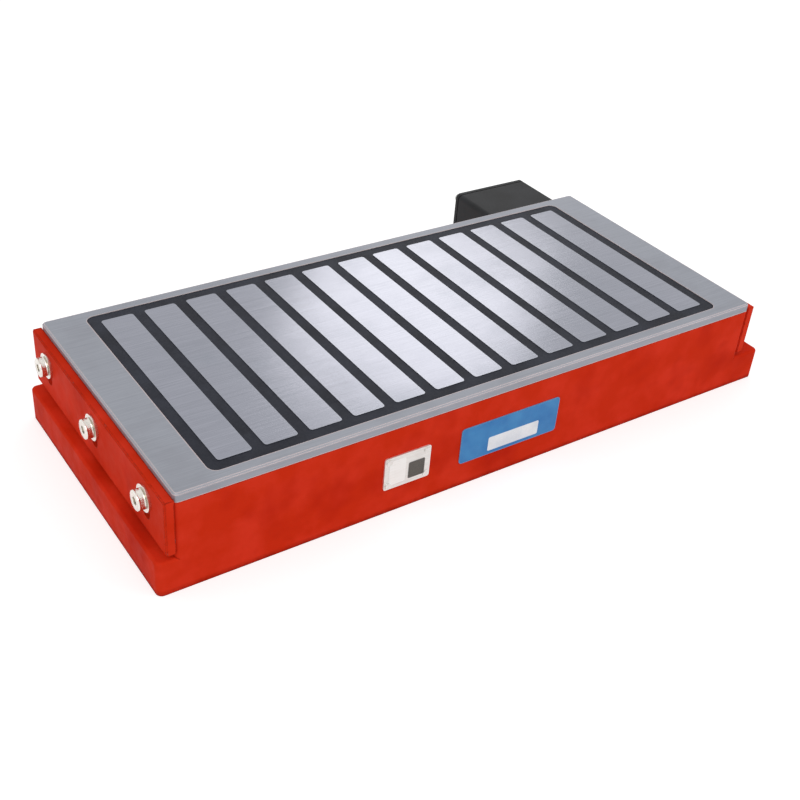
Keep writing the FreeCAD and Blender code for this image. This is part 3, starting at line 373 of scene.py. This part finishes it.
# rows are (place along X, reach) pairs, from the socket's floor outwards and then down to the tip
def socketRows(face, outward, sizes):
    floorX = face - outward * sizes["socketDepth"]
    across = sizes["socketAcross"]
    return [
        (floorX - outward * sizes["socketPoint"], roundReach(sizes["pointRadius"])),
        (floorX, hexReach(across)),
        (face - outward * sizes["rimDepth"], hexReach(across)),
        (face, hexReach(across, sizes["rimWidth"])),
    ]


def headRows(face, seat, outward, radius, sizes):
    chamfer = sizes["chamfer"]
    top = face - outward * chamfer
    shoulder = face - outward * chamfer * 0.35
    rows = [(face, roundReach(radius - chamfer)), (shoulder, roundReach(radius - chamfer * 0.3))]
    length = abs(top - seat) - sizes["headFoot"]
    count = sizes["knurlRows"]
    for row in range(count + 1):
        along = length * row / count
        fade = min(1, row / sizes["knurlFade"], (count - row) / sizes["knurlFade"])
        rows.append((top - outward * along, knurlReach(radius, sizes, along, fade)))
    rows.append((seat, roundReach(radius - sizes["headFoot"])))
    return rows


def shankRows(seat, tip, outward, sizes):
    radius = sizes["shankRadius"]
    threadStart = seat - outward * sizes["plainShank"]
    threadEnd = tip + outward * sizes["tipLength"]
    rows = [(seat, roundReach(radius)), (threadStart, roundReach(radius))]
    count = int(abs(threadStart - threadEnd) / sizes["pitch"] * sizes["threadSteps"])
    for row in range(count + 1):
        x = threadStart - outward * row * sizes["pitch"] / sizes["threadSteps"]
        rows.append((x, threadReach(sizes, row)))
    rows.append((tip, roundReach(radius - sizes["tipCut"])))
    return rows


def buildStopScrew(node, body, sizes):
    low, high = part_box(node)
    outward = 1 if (low[0] + high[0]) > 0 else -1
    tip, face = (low[0], high[0]) if outward > 0 else (high[0], low[0])
    middleY, middleZ = (low[1] + high[1]) / 2, (low[2] + high[2]) / 2
    seat = face - outward * sizes["headHeight"]
    rows = socketRows(face, outward, sizes)
    rows += headRows(face, seat, outward, (high[1] - low[1]) / 2, sizes)
    rows += shankRows(seat, tip, outward, sizes)
    angles = [2 * math.pi * step / sizes["steps"] for step in range(sizes["steps"])]

    def ring(x, reach):
        return [Vector((x, middleY + reach(a) * math.cos(a), middleZ + reach(a) * math.sin(a))) for a in angles]

    rings = [ring(x, reach) for x, reach in rows]
    mesh = bmesh.new()
    skinRings(mesh, rings)
    slotName = slotOf[node]
    piece = finishPiece(node + "_cut", mesh, finishes[slotName], body, smooth=28)
    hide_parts(node)


stopScrews = [node for node in frame["nodes"] if "_stop_screw_" in node]
for node in sorted(stopScrews):
    bodies = frame["record"]["behaviour"]["bodies"]
    buildStopScrew(node, next(name for name, members in bodies.items() if node in members), screwSizes)
print("clamp screws cut:", len(stopScrews))


# thin bare fields on the front plates
fieldSizes = {"radius": 0.0012, "cornerSteps": 6, "sunk": 0.0001}


# share gives the field's left, right, bottom and top as parts of its plate
def buildFrontField(name, node, share, rise, finish):
    radius, cornerSteps = fieldSizes["radius"], fieldSizes["cornerSteps"]
    low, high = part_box(node)
    wide, tall = high[0] - low[0], high[2] - low[2]
    left, right = low[0] + wide * share[0], low[0] + wide * share[1]
    bottom, top = low[2] + tall * share[2], low[2] + tall * share[3]
    front = low[1]
    outline = []
    for cx, cz, turn in ((right - radius, top - radius, 0), (left + radius, top - radius, 1),
                         (left + radius, bottom + radius, 2), (right - radius, bottom + radius, 3)):
        for step in range(cornerSteps + 1):
            angle = math.pi / 2 * (turn + step / cornerSteps)
            dx, dz = math.cos(angle), math.sin(angle)
            outline.append((cx + radius * dx, cz + radius * dz, dx, dz))
    soft = rise * 0.5
    rings = [[Vector((x, front + fieldSizes["sunk"], z)) for x, z, dx, dz in outline],
             [Vector((x, front - rise + soft, z)) for x, z, dx, dz in outline],
             [Vector((x - dx * soft, front - rise, z - dz * soft)) for x, z, dx, dz in outline]]
    mesh = bmesh.new()
    skinRings(mesh, rings)
    finishPiece(name, mesh, finish, "chuck")


fieldLooks = {
    "etchedField": {**metalBase, "dark": screen(70, 66, 62), "light": screen(104, 100, 94), "lay": (1, 1, 1),
                    "stain": screen(52, 48, 46), "cloudSize": 0.006, "rough": (0.5, 0.6), "metallic": 0.35,
                    "edgeAmount": 0.3, "seed": 51.0},
    "silverField": {**metalBase, "dark": screen(236, 234, 230), "light": screen(250, 249, 247),
                    "lay": (30, 1, 1),
                    "stain": screen(214, 210, 206), "cloudSize": 0.01, "rough": (0.3, 0.4), "metallic": 0.4,
                    "seed": 53.0},
}
panelLook = {**mouldedBase, "dark": screen(226, 232, 240), "light": screen(246, 249, 252),
             "edge": screen(190, 208, 226), "cloudSize": 0.018, "rough": (0.2, 0.3), "coat": 0.5,
             "depth": 0.00001,
             "seed": 55.0}
etchedFinish = makeMetal("etchedField", fieldLooks["etchedField"])
silverFinish = makeMetal("silverField", fieldLooks["silverField"])
panelFinish = makeMoulded("barePanel", panelLook)
for name, node, share, rise, finish in (
    ("ratingPlateDarkField", "rating_plate", (0.52, 0.88, 0.14, 0.66), 0.00012, etchedFinish),
    ("ratingPlateBrightField", "rating_plate", (0.10, 0.46, 0.12, 0.88), 0.00012, silverFinish),
    ("labelBarePanel", "front_label", (0.28, 0.80, 0.10, 0.50), 0.0001, panelFinish),
):
    buildFrontField(name, node, share, rise, finish)
print("front plates dressed")


# floor, light and camera
studio = {
    "floorReach": 30.0, "floorDrop": 0.0002, "floorColour": (0.80, 0.80, 0.80, 1.0), "floorLift": 0.5,
    "ambient": 0.6,
    "keyPlace": (-1.3, -1.5, 1.9), "keySize": (1.3, 1.3), "keyPower": 17.0,
    "fillPlace": (1.7, -1.2, 1.1), "fillSize": (1.6, 1.6), "fillPower": 6.0,
    "cardPlace": (0.640, 0.855, 0.696), "cardSize": (0.38, 0.36), "cardTilt": -20.0, "cardPower": 0.78,
    "cardColour": (1.0, 0.97, 0.93),
}


def makeFloor(look):
    mesh = bmesh.new()
    reach = look["floorReach"]
    corners = ((-reach, -reach), (reach, -reach), (reach, reach), (-reach, reach))
    mesh.faces.new([mesh.verts.new((x, y, -look["floorDrop"])) for x, y in corners])
    data = bpy.data.meshes.new("floor")
    mesh.to_mesh(data)
    mesh.free()
    floor = bpy.data.objects.new("floor", data)
    bpy.context.scene.collection.objects.link(floor)
    finish, shader = startFinish("paleFloor")
    shader.inputs["Base Color"].default_value = look["floorColour"]
    shader.inputs["Roughness"].default_value = 1.0
    shader.inputs["Specular IOR Level"].default_value = 0.0
    rays = addNode(finish, "LightPath")
    mirrored = combine(finish, "MAXIMUM", rays.outputs["Is Glossy Ray"], rays.outputs["Is Transmission Ray"])
    seen = combine(finish, "MAXIMUM", rays.outputs["Is Camera Ray"], mirrored)
    lift = addNode(finish, "Emission")
    connect(finish, combine(finish, "MULTIPLY", seen, look["floorLift"]), lift.inputs["Strength"])
    both = addNode(finish, "AddShader")
    out = next(node for node in finish.node_tree.nodes if node.type == "OUTPUT_MATERIAL")
    connect(finish, shader.outputs["BSDF"], both.inputs[0])
    connect(finish, lift.outputs["Emission"], both.inputs[1])
    connect(finish, both.outputs["Shader"], out.inputs["Surface"])
    data.materials.append(finish)


def makeWorld(look):
    world = bpy.data.worlds.new("paleStudio")
    bpy.context.scene.world = world
    world.use_nodes = True
    nodes, links = world.node_tree.nodes, world.node_tree.links
    nodes.clear()
    out = nodes.new("ShaderNodeOutputWorld")
    background = nodes.new("ShaderNodeBackground")
    rays = nodes.new("ShaderNodeLightPath")
    glossy = nodes.new("ShaderNodeMath")
    glossy.operation = "MAXIMUM"
    links.new(rays.outputs["Is Glossy Ray"], glossy.inputs[0])
    links.new(rays.outputs["Is Transmission Ray"], glossy.inputs[1])
    seen = nodes.new("ShaderNodeMath")
    seen.operation = "MAXIMUM"
    links.new(rays.outputs["Is Camera Ray"], seen.inputs[0])
    links.new(glossy.outputs[0], seen.inputs[1])
    strength = nodes.new("ShaderNodeMapRange")
    strength.inputs["To Min"].default_value = look["ambient"]
    strength.inputs["To Max"].default_value = 1.0
    links.new(seen.outputs[0], strength.inputs["Value"])
    links.new(strength.outputs["Result"], background.inputs["Strength"])
    background.inputs["Color"].default_value = (1.0, 1.0, 1.0, 1.0)
    links.new(background.outputs["Background"], out.inputs["Surface"])


def makeAreaLight(name, place, size, power, tilt=0.0, colour=(1, 1, 1), target=(0, 0, 0.07)):
    data = bpy.data.lights.new(name, "AREA")
    data.shape = "RECTANGLE"
    data.size, data.size_y = size
    data.energy = power
    data.color = colour
    lamp = bpy.data.objects.new(name, data)
    aim = (Vector(target) - Vector(place)).to_track_quat("-Z", "Y").to_matrix().to_4x4()
    lamp.matrix_world = Matrix.Translation(place) @ aim @ Matrix.Rotation(math.radians(tilt), 4, "Z")
    bpy.context.scene.collection.objects.link(lamp)


view = {"place": (-0.42301, -0.56033, 0.48047), "azimuth": -36.647, "elevation": 34.581, "roll": -5.014,
        "lens": 53.46, "sensor": 36.0}


def makeCamera(look):
    azimuth, elevation, roll = (math.radians(look[key]) for key in ("azimuth", "elevation", "roll"))
    back = Vector((math.sin(azimuth) * math.cos(elevation), -math.cos(azimuth) * math.cos(elevation),
                   math.sin(elevation)))
    side = (-back).cross(Vector((0, 0, 1))).normalized()
    down = (-back).cross(side)
    right = side * math.cos(roll) + down * math.sin(roll)
    under = down * math.cos(roll) - side * math.sin(roll)
    turn = Matrix((right, -under, back)).transposed()
    data = bpy.data.cameras.new("camera")
    data.lens = look["lens"]
    data.sensor_width = look["sensor"]
    data.clip_start = 0.01
    camera = bpy.data.objects.new("camera", data)
    camera.matrix_world = Matrix.Translation(look["place"]) @ turn.to_4x4()
    bpy.context.scene.collection.objects.link(camera)
    bpy.context.scene.camera = camera


makeFloor(studio)
makeWorld(studio)
makeAreaLight("keyLight", studio["keyPlace"], studio["keySize"], studio["keyPower"])
makeAreaLight("fillLight", studio["fillPlace"], studio["fillSize"], studio["fillPower"])
makeAreaLight("plateCard", studio["cardPlace"], studio["cardSize"], studio["cardPower"], studio["cardTilt"],
              studio["cardColour"])
makeCamera(view)
bpy.context.scene.view_settings.view_transform = "Standard"
print("floor, light and camera set")
